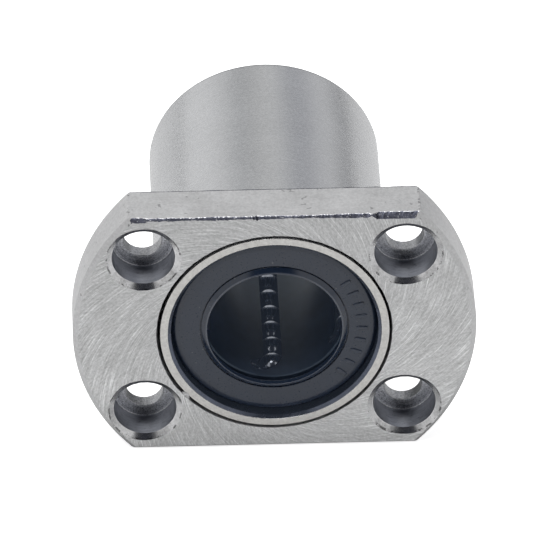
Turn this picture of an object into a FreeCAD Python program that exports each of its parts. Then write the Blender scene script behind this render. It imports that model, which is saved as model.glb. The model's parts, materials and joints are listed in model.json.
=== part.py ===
"""Flanged linear ball bushing for a 16 mm shaft, all sizes in millimetres.

The bore runs along Y.  The origin is on the bore's axis, in the plane of the flange's mounting face.
The flange's front face looks towards -Y and the sleeve runs back along +Y.  The flange is cut to two
flats, above and below, square to Z.

Each ball circuit is a flat loop.  Its plane stands square to the radius that passes through the loaded
row, so every ball outside that row is a little further from the shaft and carries nothing.  The loop has
a loaded row, a return row and a half-circle turn at each end.
"""
import math
import os

import FreeCAD
import Part

Vector = FreeCAD.Vector
ORIGIN, AXIS = Vector(0, 0, 0), Vector(0, 1, 0)

# --- driving dimensions ---------------------------------------------------------------------------
shaft_radius = 8.0
ball_radius = 3.175 / 2            # 1/8 inch bearing ball
ball_preload_gap = 0.005           # radial room between a nominal shaft and the loaded balls
circuit_count = 5
circuit_pitch_deg = 360 / circuit_count

sleeve_length = 37.0
sleeve_radius = 14.0
seat_radius = 13.8                 # the flange is pressed on here, up to the shoulder
sleeve_bore_radius = 12.35

flange_thickness = 6.0
flange_radius = 24.0
flange_flat = 16.75                # from the axis to each flat

bolt_half_x = 15.5
bolt_half_z = 11.0
bolt_radius = 2.25
head_radius = 3.75
head_depth = 4.1

balls_per_row = 7
balls_per_turn = 2
row_pitch = 3.25                   # from ball to ball along a straight row
track_gap = 4.676                  # from the loaded row's line to the return row's line

# --- derived sizes --------------------------------------------------------------------------------
front_y = -flange_thickness
rear_y = front_y + sleeve_length
middle_y = (front_y + rear_y) / 2
plane_radius = shaft_radius + ball_preload_gap + ball_radius   # a circuit's plane to the bore's axis
turn_radius = track_gap / 2
row_length = balls_per_row * row_pitch
row_front_y = middle_y - row_length / 2
row_rear_y = middle_y + row_length / 2

# How far each ball train stands from the middle of its travel, as the free balls happen to lie.
train_phases = [1.12, -0.50, 1.20, -1.10, 0.30]

# --- details --------------------------------------------------------------------------------------
rim_chamfer_front, rim_chamfer_back = 0.6, 0.4
flat_chamfer_front, flat_chamfer_back = 0.35, 0.2
head_chamfer_width, head_chamfer_depth = 0.7, 0.5
bolt_chamfer = 0.25
head_corner = 0.3                  # rounded corner at the counterbore's floor

joint_groove_half, joint_groove_depth = 0.18, 1.1     # the V between sleeve and flange
shoulder_height = sleeve_radius - seat_radius         # the sleeve's conical stop behind the flange
shoulder_room = 0.05               # the flange's bore is opened this much more than the stop
sleeve_rear_chamfer = 0.8
mouth_chamfer = 0.35

seal_recess = 1.1                  # from the sleeve's end to the seal's face
seal_thickness = 0.9
seal_radius = 12.34
seal_flat_radius = 11.3            # where the face starts to round off towards its rim
seal_round_depth = 0.6
lip_radius = 8.02
lip_stand = 0.44                   # the lip's tip stands this far in front of the seal's face
lip_length = 0.64                  # the round wall that wipes the shaft, with its two corners
lip_corner = 0.04
lip_root_radius = 8.72             # the cone behind the tip meets the groove here
lip_back_radius = 8.5
lip_back_stand = 0.15
lip_groove_radius, lip_groove_depth = 8.85, 0.22
seal_back_radius = 9.6
mark_count = 9
mark_height, mark_sink = 0.15, 0.1
mark_inner, mark_outer, mark_width = 9.7, 11.15, 0.5
mark_first_deg, mark_step_deg = 36.0, -9.5

ring_thickness = 0.55
ring_groove_radius = 12.95
ring_outer_radius = 12.9
ring_inner_radius = 10.4
ring_gap_deg = 22.0
ring_groove_room = 0.05
ring_front = seal_recess + seal_thickness + 0.025   # from the sleeve's end to the ring

cage_length = 31.7
cage_bore_radius = 8.3
cage_radius = 12.2
cage_end_chamfer = 0.15
ball_channel_radius = 1.76
spline_half_width = 2.45           # cage channels that the sleeve's raceways run in
spline_floor_radius = 11.0

raceway_radius = shaft_radius + ball_preload_gap + 2 * ball_radius + 0.02
raceway_half_width = 2.3
raceway_ramp = 1.4
raceway_lead = 0.3                 # the ramp's foot lies this far inside the straight row


def place(shape, deg):
    """The shape turned round the bore's axis, from the lowest circuit to another."""
    turned_shape = shape.copy()
    turned_shape.rotate(ORIGIN, AXIS, deg)
    return turned_shape


def turned(profile):
    """A solid of revolution round the bore's axis, from a closed outline of (radius, y) points."""
    points = [Vector(radius, y, 0) for radius, y in profile]
    outline = Part.makePolygon(points + points[:1])
    return Part.Face(outline).revolve(ORIGIN, AXIS, 360)


def drum(radius, y0, y1, x=0.0, z=0.0):
    """A cylinder along Y from y0 to y1."""
    return Part.makeCylinder(radius, y1 - y0, Vector(x, y0, z), AXIS)


def fuse_all(shapes):
    """One solid of shapes that meet or overlap."""
    return shapes[0].multiFuse(shapes[1:]).removeSplitter()


def rear_copy(profile):
    """The same outline at the sleeve's other end, mirrored about its middle."""
    return [(radius, 2 * middle_y - y) for radius, y in reversed(profile)]


# --- flange ---------------------------------------------------------------------------------------
def flange_disc():
    """The round disc with its rim chamfers and its press-fit bore."""
    return turned([
        (seat_radius, front_y + joint_groove_depth),
        (seat_radius + joint_groove_half, front_y),
        (flange_radius - rim_chamfer_front, front_y),
        (flange_radius, front_y + rim_chamfer_front),
        (flange_radius, -rim_chamfer_back),
        (flange_radius - rim_chamfer_back, 0),
        (sleeve_radius + shoulder_room, 0),
        (seat_radius, -shoulder_height - shoulder_room),
    ])


def flange_slab():
    """The slab that leaves the two flats, with their chamfers."""
    half = flange_flat
    upper = [
        Vector(0, front_y, half - flat_chamfer_front),
        Vector(0, front_y + flat_chamfer_front, half),
        Vector(0, -flat_chamfer_back, half),
        Vector(0, 0, half - flat_chamfer_back),
    ]
    lower = [Vector(0, p.y, -p.z) for p in reversed(upper)]
    outline = Part.makePolygon(upper + lower + upper[:1])
    slab = Part.Face(outline).extrude(Vector(4 * flange_radius, 0, 0))
    slab.translate(Vector(-2 * flange_radius, 0, 0))
    return slab


def screw_hole():
    """The space of one counterbored hole, on the bore's axis: chamfer, head room, shank, back chamfer."""
    floor_y = front_y + head_depth
    corner = head_corner * (1 - math.sqrt(0.5))
    past = 1.0
    mouth_radius = head_radius + head_chamfer_width
    outline = [
        Vector(0, front_y - past, 0),
        Vector(mouth_radius, front_y - past, 0),
        Vector(mouth_radius, front_y, 0),
        Vector(head_radius, front_y + head_chamfer_depth, 0),
        Vector(head_radius, floor_y - head_corner, 0),
        Vector(head_radius - head_corner, floor_y, 0),
        Vector(bolt_radius, floor_y, 0),
        Vector(bolt_radius, -bolt_chamfer, 0),
        Vector(bolt_radius + bolt_chamfer + past, past, 0),
        Vector(0, past, 0),
    ]
    rounded_at = 4
    edges = []
    for n, start in enumerate(outline):
        end = outline[(n + 1) % len(outline)]
        if n == rounded_at:
            bulge = Vector(head_radius - corner, floor_y - corner, 0)
            edges.append(Part.Arc(start, bulge, end).toShape())
        else:
            edges.append(Part.LineSegment(start, end).toShape())
    return Part.Face(Part.Wire(edges)).revolve(ORIGIN, AXIS, 360)


def make_flange():
    """Two-side-cut flange with four counterbored screw holes."""
    flange = flange_disc().common(flange_slab())
    for x in (-bolt_half_x, bolt_half_x):
        for z in (-bolt_half_z, bolt_half_z):
            hole = screw_hole()
            hole.translate(Vector(x, 0, z))
            flange = flange.cut(hole)
    return flange


# --- sleeve ---------------------------------------------------------------------------------------
def sleeve_tube():
    """The ground outer sleeve, plain inside but for its two ring grooves."""
    groove_front = front_y + ring_front - ring_groove_room / 2
    groove_back = groove_front + ring_thickness + ring_groove_room
    front_groove = [
        (sleeve_bore_radius, groove_front),
        (ring_groove_radius, groove_front),
        (ring_groove_radius, groove_back),
        (sleeve_bore_radius, groove_back),
    ]
    inside = [
        (sleeve_bore_radius + mouth_chamfer, front_y),
        (sleeve_bore_radius, front_y + mouth_chamfer),
        *front_groove,
        *rear_copy(front_groove),
        (sleeve_bore_radius, rear_y - mouth_chamfer),
        (sleeve_bore_radius + mouth_chamfer, rear_y),
    ]
    outside = [
        (sleeve_radius - sleeve_rear_chamfer, rear_y),
        (sleeve_radius, rear_y - sleeve_rear_chamfer),
        (sleeve_radius, 0),
        (seat_radius, -shoulder_height),
        (seat_radius, front_y + joint_groove_depth),
        (seat_radius - joint_groove_half, front_y),
    ]
    return turned(inside + outside)


def raceways():
    """The hardened strips inside the sleeve that the loaded balls roll on, ramped at both ends."""
    buried_radius = (sleeve_bore_radius + sleeve_radius) / 2
    foot = row_front_y + raceway_lead
    head = row_rear_y - raceway_lead
    ring = turned([
        (raceway_radius, foot),
        (raceway_radius, head),
        (sleeve_bore_radius, head + raceway_ramp),
        (buried_radius, head + raceway_ramp),
        (buried_radius, foot - raceway_ramp),
        (sleeve_bore_radius, foot - raceway_ramp),
    ])
    strip = Part.makeBox(2 * raceway_half_width, sleeve_length, sleeve_radius)
    strip.translate(Vector(-raceway_half_width, front_y, -sleeve_radius))
    return [ring.common(place(strip, n * circuit_pitch_deg)) for n in range(circuit_count)]


def make_sleeve():
    """The outer sleeve with its raceways."""
    return fuse_all([sleeve_tube(), *raceways()])


# --- cage -----------------------------------------------------------------------------------------
def channel_section(y):
    """A ball channel's section: round towards the shaft, open outwards, on the loaded row's line."""
    deep = 2 * ball_radius + 2
    r, z = ball_channel_radius, -plane_radius
    right, left = Vector(r, y, z), Vector(-r, y, z)
    low_left, low_right = Vector(-r, y, z - deep), Vector(r, y, z - deep)
    edges = [
        Part.Arc(right, Vector(0, y, z + r), left).toShape(),
        Part.LineSegment(left, low_left).toShape(),
        Part.LineSegment(low_left, low_right).toShape(),
        Part.LineSegment(low_right, right).toShape(),
    ]
    return Part.Face(Part.Wire(edges))


def channel_loop():
    """The space of the lowest circuit's whole loop: two straight runs and two half-circle turns."""
    loaded = channel_section(row_front_y).extrude(Vector(0, row_length, 0))
    back = loaded.copy()
    back.translate(Vector(-track_gap, 0, 0))
    turns = []
    for y, sweep in ((row_rear_y, 180), (row_front_y, -180)):
        turn_centre = Vector(-turn_radius, y, 0)
        turns.append(channel_section(y).revolve(turn_centre, Vector(0, 0, 1), sweep))
    return [loaded, back, *turns]


def spline_channel():
    """The room in the cage for the lowest raceway, along the cage's whole length."""
    strip = Part.makeBox(2 * spline_half_width, sleeve_length, sleeve_radius)
    strip.translate(Vector(-spline_half_width, front_y, -sleeve_radius))
    return strip.cut(drum(spline_floor_radius, front_y - 1, rear_y + 1))


def make_cage():
    """One-piece moulded ball cage: a tube with five open loops cut through to the shaft."""
    cage_front, cage_rear = middle_y - cage_length / 2, middle_y + cage_length / 2
    c = cage_end_chamfer
    cage = turned([
        (cage_bore_radius + c, cage_front),
        (cage_radius - c, cage_front),
        (cage_radius, cage_front + c),
        (cage_radius, cage_rear - c),
        (cage_radius - c, cage_rear),
        (cage_bore_radius + c, cage_rear),
        (cage_bore_radius, cage_rear - c),
        (cage_bore_radius, cage_front + c),
    ])
    for n in range(circuit_count):
        for space in [spline_channel(), *channel_loop()]:
            cage = cage.cut(place(space, n * circuit_pitch_deg))
    return cage


# --- seals and rings ------------------------------------------------------------------------------
def seal_profile():
    """A seal's section at the front end: flat face, rounded rim, and a lip that stands out like a cone."""
    face = front_y + seal_recess
    back = face + seal_thickness
    tip = face - lip_stand
    rounded = seal_radius - seal_flat_radius
    return [
        (lip_groove_radius, face),
        (seal_flat_radius, face),
        (seal_flat_radius + 0.4 * rounded, face + 0.1 * seal_round_depth),
        (seal_flat_radius + 0.75 * rounded, face + 0.4 * seal_round_depth),
        (seal_radius, face + seal_round_depth),
        (seal_radius, back),
        (seal_back_radius, back),
        (lip_back_radius, back + lip_back_stand),
        (lip_radius, tip + lip_length),
        (lip_radius, tip + lip_corner),
        (lip_radius + lip_corner, tip),
        (lip_radius + 2 * lip_corner, tip),
        (lip_root_radius, face),
        (lip_root_radius, face + lip_groove_depth),
        (lip_groove_radius, face + lip_groove_depth),
    ]


def mould_marks():
    """Plain raised bars on the front seal's face, in place of any lettering."""
    face = front_y + seal_recess
    bar = Part.makeBox(mark_outer - mark_inner, mark_height + mark_sink, mark_width)
    bar.translate(Vector(mark_inner, face - mark_height, -mark_width / 2))
    return [place(bar, -(mark_first_deg + n * mark_step_deg)) for n in range(mark_count)]


def make_front_seal():
    """The rubber wiper seal at the flange end, with its mould marks."""
    return fuse_all([turned(seal_profile()), *mould_marks()])


def make_rear_seal():
    """The rubber wiper seal at the far end."""
    return turned(rear_copy(seal_profile()))


def snap_ring(y0):
    """A flat spring ring with a gap, sprung into a groove of the sleeve."""
    y1 = y0 + ring_thickness
    ring = drum(ring_outer_radius, y0, y1).cut(drum(ring_inner_radius, y0 - 1, y1 + 1))
    half_gap = ring_outer_radius * math.sin(math.radians(ring_gap_deg / 2))
    gap = Part.makeBox(2 * half_gap, 2 * ring_thickness, 2 * ring_outer_radius)
    gap.translate(Vector(-half_gap, y0 - ring_thickness / 2, 0))
    return ring.cut(gap)


# --- balls ----------------------------------------------------------------------------------------
def ball(x, y):
    """One ball whose centre lies in the lowest circuit's plane."""
    return Part.makeSphere(ball_radius, Vector(x, y, -plane_radius))


def loaded_balls(phase):
    """The balls under load, front to back, at the shaft's side of the loop."""
    return [ball(0, row_front_y + (n + 0.5) * row_pitch + phase) for n in range(balls_per_row)]


def return_balls(phase):
    """The balls on their way back, which run the other way."""
    ys = [row_front_y + (n + 0.5) * row_pitch - phase for n in range(balls_per_row)]
    return [ball(-track_gap, y) for y in ys]


def turn_balls(phase, at_front):
    """The balls in one half-circle turn, evenly spaced round it."""
    step = 180 / balls_per_turn
    centre_y, first_deg = (row_front_y, 180) if at_front else (row_rear_y, 0)
    balls = []
    for n in range(balls_per_turn):
        angle = math.radians(first_deg + (n + 0.5) * step + phase / row_pitch * step)
        x = -turn_radius + turn_radius * math.cos(angle)
        balls.append(ball(x, centre_y + turn_radius * math.sin(angle)))
    return balls


def ball_nodes():
    """Every ball of every circuit: loaded balls one by one, the others grouped by stretch of the loop."""
    nodes = {}
    for n, phase in enumerate(train_phases):
        deg, name = n * circuit_pitch_deg, f"circuit_{n + 1}"
        for m, loaded in enumerate(loaded_balls(phase)):
            nodes[f"{name}_loaded_ball_{m + 1}"] = place(loaded, deg)
        groups = {
            "return_balls": return_balls(phase),
            "front_turn_balls": turn_balls(phase, True),
            "rear_turn_balls": turn_balls(phase, False),
        }
        for group, balls in groups.items():
            nodes[f"{name}_{group}"] = Part.makeCompound([place(b, deg) for b in balls])
    return nodes


def main():
    """Writes one STEP file for each node."""
    nodes = {
        "flange": make_flange(),
        "outer_sleeve": make_sleeve(),
        "ball_cage": make_cage(),
        "front_seal": make_front_seal(),
        "rear_seal": make_rear_seal(),
        "front_retaining_ring": snap_ring(front_y + ring_front),
        "rear_retaining_ring": snap_ring(rear_y - ring_front - ring_thickness),
        **ball_nodes(),
    }
    os.makedirs("parts", exist_ok=True)
    for name, shape in nodes.items():
        shape.exportStep(f"parts/{name}.step")
        print(f"{name}: {len(shape.Solids)} solid(s), {shape.Volume:.1f} mm3, valid {shape.isValid()}")


if __name__ == "__main__":
    main()
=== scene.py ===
import json
import math

import bmesh
import bpy
import numpy as np
from mathutils import Matrix, Vector


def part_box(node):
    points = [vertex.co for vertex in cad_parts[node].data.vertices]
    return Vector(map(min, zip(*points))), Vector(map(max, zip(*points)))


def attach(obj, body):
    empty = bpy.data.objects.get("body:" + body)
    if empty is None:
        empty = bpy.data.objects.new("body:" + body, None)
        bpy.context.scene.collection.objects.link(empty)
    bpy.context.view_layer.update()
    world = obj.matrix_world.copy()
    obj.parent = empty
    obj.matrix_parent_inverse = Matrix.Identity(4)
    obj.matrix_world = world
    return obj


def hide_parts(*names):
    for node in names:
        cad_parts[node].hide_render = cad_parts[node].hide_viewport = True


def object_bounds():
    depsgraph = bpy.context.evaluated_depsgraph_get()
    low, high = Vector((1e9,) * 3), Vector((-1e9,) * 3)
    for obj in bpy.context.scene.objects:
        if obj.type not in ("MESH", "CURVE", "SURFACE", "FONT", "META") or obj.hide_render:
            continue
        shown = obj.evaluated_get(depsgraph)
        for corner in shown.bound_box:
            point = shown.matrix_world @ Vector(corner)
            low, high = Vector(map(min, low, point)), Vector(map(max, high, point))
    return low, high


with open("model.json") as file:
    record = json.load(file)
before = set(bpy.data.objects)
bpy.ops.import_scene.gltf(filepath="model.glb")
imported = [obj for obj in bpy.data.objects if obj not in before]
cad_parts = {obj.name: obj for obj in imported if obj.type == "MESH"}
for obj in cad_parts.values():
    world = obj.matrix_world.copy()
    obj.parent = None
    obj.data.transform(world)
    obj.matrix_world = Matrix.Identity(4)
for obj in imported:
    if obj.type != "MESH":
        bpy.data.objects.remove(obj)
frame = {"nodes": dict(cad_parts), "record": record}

bl_info = {
    "name": "Flanged linear ball bushing",
    "version": (1, 0, 0),
    "blender": (4, 5, 0),
    "location": "3D View > Sidebar > Bushing",
    "description": "Builds a flanged linear ball bushing's finished surfaces around its engineering model",
    "category": "Add Mesh",
}

MM = 0.001
BODY = "housing"
WELD = 2e-7
CIRCUITS = 5
ROW_PITCHES = 3.5  # from the middle of a circuit's row to the centre of either turn
GROOVE_WIDTH, GROOVE_DEPTH = 0.18, 1.1  # joint groove between flange and sleeve, in millimetres
PAINTED_GLOW = 0.018  # strength of a painted glow, a faint pale emission that stands in for light in the dark bore

cad_low, cad_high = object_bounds()
flange_low, flange_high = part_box("flange")
sleeve_low, sleeve_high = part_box("outer_sleeve")


# --- settings ---
def length(name, description, millimetres):
    """A length setting, stored in metres and given here in millimetres."""
    return bpy.props.FloatProperty(name=name, description=description, default=millimetres * MM,
                                   precision=5, subtype="DISTANCE", unit="LENGTH")


def angle(name, description, degrees):
    """An angle setting, stored in radians and given here in degrees."""
    return bpy.props.FloatProperty(
        name=name, description=description, default=math.radians(degrees), subtype="ANGLE", unit="ROTATION")


def colour(name, description, value):
    """A colour setting."""
    return bpy.props.FloatVectorProperty(
        name=name, description=description, default=value, min=0.0, max=1.0, size=3, subtype="COLOR")


def number(name, description, value, unit="NONE"):
    """A plain number, or a power in watts."""
    return bpy.props.FloatProperty(name=name, description=description, default=value, unit=unit)


class FlangeSettings(bpy.types.PropertyGroup):
    """Sizes and colours of the flange."""

    radius: length("Rim radius", "Radius of the flange's round sides", flange_high.x / MM)
    flat: length("Flat height", "Distance from the bore's axis to each flat", flange_high.z / MM)
    seat: length("Seat radius", "Radius of the flange's own bore", 13.8)
    rim_chamfer: length("Rim chamfer", "Front chamfer on the round sides", 0.6)
    flat_chamfer: length("Flat chamfer", "Front chamfer on the flats", 0.35)
    hole_x: length("Hole offset X", "Distance of each screw hole from the middle, sideways", 15.5)
    hole_z: length("Hole offset Z", "Distance of each screw hole from the middle, up and down", 11.0)
    head_radius: length("Counterbore radius", "Radius of each counterbore", 3.75)
    head_depth: length("Counterbore depth", "Depth of each counterbore", 4.1)
    mouth_width: length("Mouth chamfer", "Width of the chamfer at each counterbore's mouth", 0.7)
    bolt_radius: length("Hole radius", "Radius of each through hole", 2.25)
    groove: length("Joint groove", "Half width of the groove between flange and sleeve", GROOVE_WIDTH)
    relief: length("Seat relief", "Chamfer at the back of the flange's bore", 0.25)
    face: colour("Face steel", "Colour of the milled front face", (0.55, 0.553, 0.555))
    wall: colour("Hole steel", "Colour of the counterbores' walls", (0.50, 0.51, 0.54))
    side: colour("Side steel", "Colour of the flats and the round sides", (0.53, 0.53, 0.535))
    # Painted shade: this torn colour also darkens the front chamfer in part as painted shade, and paints a
    # shade line along the upper flat's back edge.
    torn: colour("Torn steel", "Colour of the torn metal along the upper edge", (0.075, 0.078, 0.10))
    fleck: colour("Torn flecks", "Colour of the bright flecks in the torn metal", (0.46, 0.46, 0.47))


class SleeveSettings(bpy.types.PropertyGroup):
    """Sizes and colours of the outer sleeve."""

    radius: length("Outside radius", "Ground outside radius of the sleeve", sleeve_high.x / MM)
    bore: length("Inside radius", "Inside radius of the sleeve", 12.35)
    seat: length("Seat radius", "Radius of the sleeve inside the flange", 13.8)
    mouth_chamfer: length("Mouth chamfer", "Chamfer inside each end of the sleeve", 0.35)
    raceway: length("Raceway radius", "Radius of the strips the loaded balls roll on", 11.2)
    rear_chamfer: length("Rear chamfer", "Chamfer at the sleeve's free end", 0.8)
    outside: colour("Ground steel", "Colour of the ground outside", (0.49, 0.495, 0.505))
    end: colour("End steel", "Colour of the sleeve's bright front ring", (0.60, 0.592, 0.572))
    # Painted shade: this low colour stands in for the shade inside the sleeve and its reflection of the
    # black seal.
    inside: colour("Inside steel", "Colour of the oiled inside of the sleeve", (0.095, 0.105, 0.135))


class SealSettings(bpy.types.PropertyGroup):
    """Sizes and colours of the two wiper seals."""

    recess: length("Recess", "Distance from the sleeve's end to the seal's face", 1.1)
    thickness: length("Thickness", "Thickness of the seal's ring", 0.9)
    radius: length("Outside radius", "Outside radius of the seal", 12.34)
    flat_radius: length("Flat radius", "Radius where the face starts to round off", 11.3)
    round_depth: length("Rounding depth", "How far the rounded rim falls back", 0.6)
    lip_radius: length("Lip radius", "Radius of the wiping lip", 8.02)
    lip_stand: length("Lip stand", "How far the lip's tip stands in front of the face", 0.44)
    lip_length: length("Lip length", "Length of the round wall that wipes the shaft", 0.64)
    root_radius: length("Lip root radius", "Radius where the lip's cone meets its groove", 8.72)
    groove_radius: length("Groove radius", "Outside radius of the groove round the lip", 8.85)
    groove_depth: length("Groove depth", "Depth of the groove round the lip", 0.22)
    marks: bpy.props.IntProperty(name="Marks", description="Number of plain moulded bars", default=9, min=0)
    first_mark: angle("First mark", "Angle of the uppermost bar above the horizontal", 36.0)
    mark_step: angle("Mark step", "Angle from bar to bar", 9.5)
    mark_radius: length("Mark radius", "Distance of the bars' middles from the axis", 10.42)
    mark_length: length("Mark length", "Length of each bar", 1.45)
    mark_width: length("Mark width", "Width of each bar", 0.5)
    mark_height: length("Mark height", "How far each bar stands out", 0.15)
    rubber: colour("Rubber", "Colour of the rubber", (0.011, 0.020, 0.040))


class BallSettings(bpy.types.PropertyGroup):
    """Sizes and colours of the balls and of the cage that holds them."""

    radius: length("Ball radius", "Radius of one ball", 1.5875)
    plane: length("Circuit plane", "Distance from the bore's axis to a circuit's plane", 9.5925)
    pitch: length("Pitch", "Distance from ball to ball in a straight row", 3.25)
    track_gap: length("Track gap", "Distance from the loaded row to the return row", 4.676)
    cage_bore: length("Cage bore", "Inside radius of the cage", 8.3)
    cage_radius: length("Cage radius", "Outside radius of the cage", 12.2)
    steel: colour("Ball steel", "Colour of the polished balls", (0.27, 0.285, 0.32))
    cage: colour("Cage resin", "Colour of the moulded cage", (0.053, 0.080, 0.134))
    ring: colour("Ring steel", "Colour of the retaining rings", (0.36, 0.36, 0.38))


class StageSettings(bpy.types.PropertyGroup):
    """The floor, the light and the camera."""

    azimuth: angle("Camera azimuth", "Camera's turn about the vertical", -2.12)
    elevation: angle("Camera elevation", "Camera's height above the horizon", 35.522)
    roll: angle("Camera roll", "Camera's turn about its own line of sight", -0.066)
    distance: length("Camera distance", "Camera's distance from the bushing's middle", 973.6)
    lens: number("Lens", "Focal length in millimetres", 543.8)
    shift_x: number("Shift X", "Sideways shift of the frame", -0.0091)
    shift_y: number("Shift Y", "Upward shift of the frame", 0.0183)
    floor: colour("Floor", "Colour of the floor", (0.65, 0.65, 0.65))
    glow: number("Floor glow", "How much the floor is lit up behind the bushing", 0.75)
    ambient: number("Ambient", "Strength of the room's light", 1.2)
    key: number("Key light", "Power of the large soft light", 8.0, "POWER")
    lamp: number("Small lamp", "Power of the small lamp in front", 0.025, "POWER")


# --- surfaces ---
def put(name, data):
    """A new object in the scene, at the origin."""
    piece = bpy.data.objects.new(name, data)
    bpy.context.scene.collection.objects.link(piece)
    return piece


class Shell:
    """Gathers grids of points, in millimetres, into one closed mesh."""

    def __init__(self):
        self.points, self.quads, self.zones = [], [], []
        self.count = 0

    def grid(self, points, zone=0, closed_rows=False, closed_columns=True):
        """Adds a surface of points[row, column, xyz]; a closed direction joins its end to its start."""
        rows, columns = points.shape[:2]
        index = self.count + np.arange(rows * columns).reshape(rows, columns)
        if closed_columns:
            index = np.concatenate([index, index[:, :1]], axis=1)
        if closed_rows:
            index = np.concatenate([index, index[:1]], axis=0)
        quads = np.stack([index[:-1, :-1], index[:-1, 1:], index[1:, 1:], index[1:, :-1]], axis=-1)
        quads = quads.reshape(-1, 4)
        self.points.append(points.reshape(-1, 3))
        self.quads.append(quads)
        self.zones.append(np.broadcast_to(np.asarray(zone), (len(quads),)) if np.ndim(zone) == 0 else zone)
        self.count += rows * columns

    def build(self, name, materials, body, replaced, sharp_degrees=28):
        """Welds the grids, turns every face outwards, attaches the piece to its body and hides the parts it
        replaces.
        """
        points = np.concatenate(self.points) * MM
        mesh = bpy.data.meshes.new(name)
        mesh.from_pydata(points.tolist(), [], np.concatenate(self.quads).tolist())
        for material in materials:
            mesh.materials.append(material)
        mesh.polygons.foreach_set("material_index", np.concatenate(self.zones).astype(np.int32))
        shell = bmesh.new()
        shell.from_mesh(mesh)
        bmesh.ops.remove_doubles(shell, verts=shell.verts[:], dist=WELD)
        bmesh.ops.dissolve_degenerate(shell, edges=shell.edges[:], dist=WELD / 4)
        bmesh.ops.recalc_face_normals(shell, faces=shell.faces[:])
        shell.to_mesh(mesh)
        shell.free()
        mesh.shade_smooth()
        mesh.set_sharp_from_angle(angle=math.radians(sharp_degrees))
        piece = put(name, mesh)
        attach(piece, body)
        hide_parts(*replaced)
        return piece


def soft_excess(value, softness=0.03):
    """How far a value is above nought, with the corner at nought rounded off."""
    return 0.5 * (value + np.sqrt(value * value + softness * softness))


def ripple(rng, at, spacing, amount, period=None):
    """Smooth random unevenness along a line: random heights a spacing apart, joined by cosine ramps."""
    if period is None:
        low, high = float(np.min(at)), float(np.max(at))
        heights = rng.uniform(-amount, amount, int((high - low) / spacing) + 3)
        place = (at - low) / spacing
    else:
        count = max(4, int(period / spacing))
        heights = rng.uniform(-amount, amount, count)
        heights = np.append(heights, heights[:2])
        place = (at % period) / period * count
    base = np.floor(place).astype(int)
    part = 0.5 - 0.5 * np.cos(np.pi * (place - base))
    return heights[base] * (1 - part) + heights[base + 1] * part


def ramp(value, start, end):
    """0 up to the start, 1 from the end on, and a straight line between them."""
    return np.clip((value - start) / (end - start), 0, 1)


def ruled(start, end, rows):
    """Straight lines from each point of one curve to the same point of another."""
    part = np.linspace(0, 1, rows)[:, None, None]
    return start[None] * (1 - part) + end[None] * part


def rounded(corners, steps=4):
    """An outline of (radius, y), each corner rounded by its own third number as an arc of a few points."""
    corners = np.asarray(corners, float)
    outline = []
    for before, here, after in zip(np.roll(corners, 1, 0), corners, np.roll(corners, -1, 0)):
        radius = here[2]
        if radius <= 0:
            outline.append(here[None, :2])
            continue
        back, ahead = before[:2] - here[:2], after[:2] - here[:2]
        back, ahead = back / np.linalg.norm(back), ahead / np.linalg.norm(ahead)
        half = 0.5 * math.acos(float(np.clip(back @ ahead, -1, 1)))
        reach = radius / math.tan(half)
        first, last = here[:2] + back * reach, here[:2] + ahead * reach
        middle = (back + ahead) / np.linalg.norm(back + ahead)
        centre = here[:2] + middle * (radius / math.sin(half))
        turn = np.linspace(0, 1, steps + 1)[:, None]
        spokes = (first - centre) * (1 - turn) + (last - centre) * turn
        spokes *= radius / np.linalg.norm(spokes, axis=1, keepdims=True)
        outline.append(centre + spokes)
    return np.concatenate(outline)


def around(radius, angles, y, x=0.0, z=0.0):
    """Points at a radius and an angle about the line along Y through x and z: cosine in X, sine in Z."""
    across, up = x + radius * np.cos(angles), z + radius * np.sin(angles)
    return np.stack([across, np.broadcast_to(y, across.shape), up], axis=-1)


def turned(outline, angles):
    """A profile of (radius, y) points carried round the bore's axis."""
    return around(outline[:, :1], angles, outline[:, 1:])


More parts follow.
